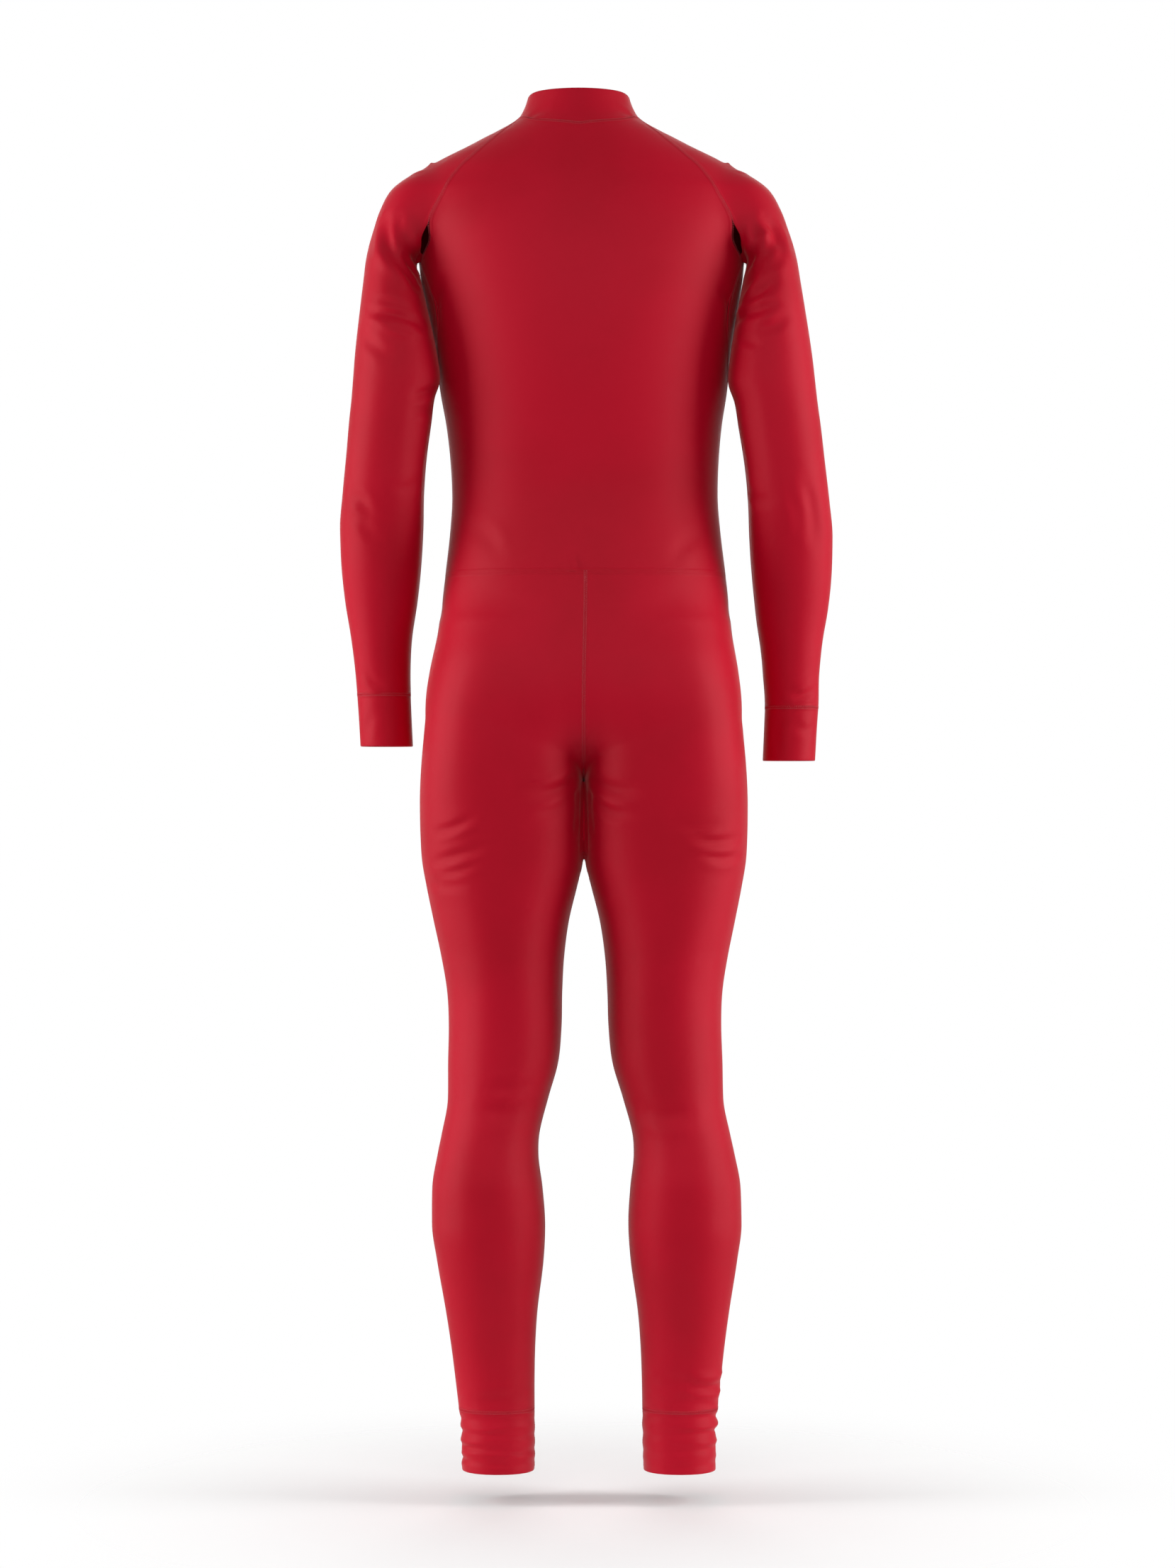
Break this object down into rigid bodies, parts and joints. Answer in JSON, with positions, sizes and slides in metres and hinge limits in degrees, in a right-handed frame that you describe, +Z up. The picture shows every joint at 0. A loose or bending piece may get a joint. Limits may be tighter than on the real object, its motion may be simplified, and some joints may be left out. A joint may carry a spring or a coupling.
{
  "type": "cross-country ski suit",
  "caption": "One-piece stretch race suit, filled out as worn: stand collar, front zip, raglan sleeves, banded cuffs and ankles, waist seam and centre back seam.",
  "frame": {"origin": "at the nape, where the suit hangs from the wearer's shoulders, at the height of the collar seam", "axes": "+Z up along the wearer's back, -Y out of the chest, +X to the wearer's left"},
  "size_m": [0.5333, 0.2345, 1.4961],
  "materials": {
    "knit": "smooth stretch warp knit with a soft satin sheen",
    "zip_tape": "woven zip tape with moulded coil",
    "enamel": "satin enamel"
  },
  "bodies": {
    "suit": {"collar": "knit", "back": "knit", "front_left": "knit", "front_right": "knit", "sleeve_left": "knit", "sleeve_right": "knit", "cuff_left": "knit", "cuff_right": "knit", "leg_left": "knit", "leg_right": "knit", "ankle_left": "knit", "ankle_right": "knit", "zip_tape": "zip_tape", "zip_slider": "enamel"},
    "pull": {"zip_pull": "enamel"}
  },
  "joints": [
    {"name": "pull_swing", "type": "hinge", "parent": "suit", "child": "pull", "pos_m": [0.00479, -0.08732, -0.0115], "axis": [-1, 0, 0], "range_deg": [0, 150]}
  ]
}
